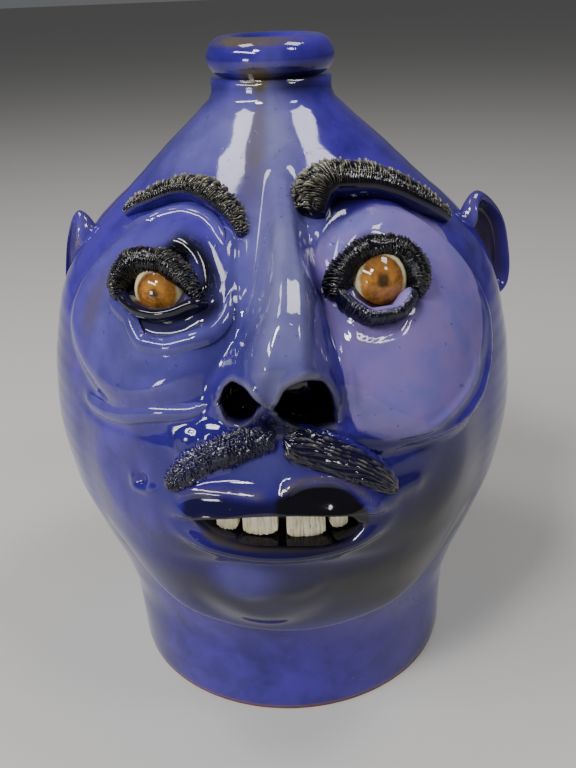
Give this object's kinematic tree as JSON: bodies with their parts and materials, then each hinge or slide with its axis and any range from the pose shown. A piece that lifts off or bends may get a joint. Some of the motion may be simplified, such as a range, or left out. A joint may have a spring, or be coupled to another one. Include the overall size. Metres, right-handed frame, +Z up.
{
  "type": "face jug",
  "caption": "Hollow stoneware jug with a narrow rolled neck and a face built up on its front, glazed cobalt blue, with pale clay eyes and teeth.",
  "frame": {"origin": "centre of the flat underside of the foot", "axes": "+Z up along the neck; the face looks along -Y; +X to the viewer's right"},
  "size_m": [0.1859, 0.2052, 0.254],
  "materials": {
    "cobalt_glaze": "glossy cobalt blue glaze over stoneware, black on brows, lashes and moustache, bare clay at the foot edge",
    "eye_glaze": "clear gloss over cream clay with an amber iris and a dark pupil",
    "white_clay": "cream white clay, satin, with fine dark upright cracks"
  },
  "bodies": {
    "root": {"jug_body": "cobalt_glaze", "eye_left": "eye_glaze", "eye_right": "eye_glaze", "tooth_1": "white_clay", "tooth_2": "white_clay", "tooth_3": "white_clay", "tooth_4": "white_clay"}
  },
  "joints": []
}
